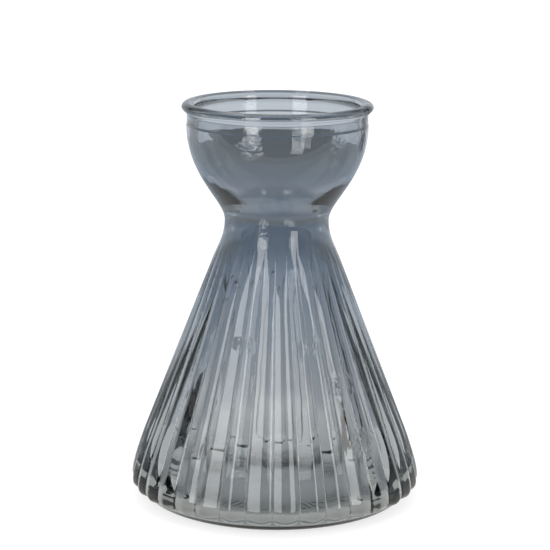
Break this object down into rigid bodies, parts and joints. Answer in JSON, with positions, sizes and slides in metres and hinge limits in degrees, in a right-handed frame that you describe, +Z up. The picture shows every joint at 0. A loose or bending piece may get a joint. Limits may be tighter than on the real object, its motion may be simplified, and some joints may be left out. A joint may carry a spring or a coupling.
{
  "type": "hyacinth forcing vase",
  "caption": "Hyacinth forcing vase of smoky blue-grey glass: rounded rim, round bulb cup, narrow waist and a wide convex-fluted conical water chamber on a flat base.",
  "frame": {"origin": "middle of the face that the vase stands on", "axes": "+Z up along the vase's own axis, from the base to the rim; a groove between two flutes faces -Y"},
  "size_m": [0.1234, 0.123, 0.17],
  "materials": {
    "glass": "clear, fire-polished"
  },
  "bodies": {
    "root": {"rim_bead": "glass", "collar": "glass", "bulb_cup": "glass", "waist": "glass", "fluted_body": "glass", "heel": "glass", "base_disc": "glass"}
  },
  "joints": []
}
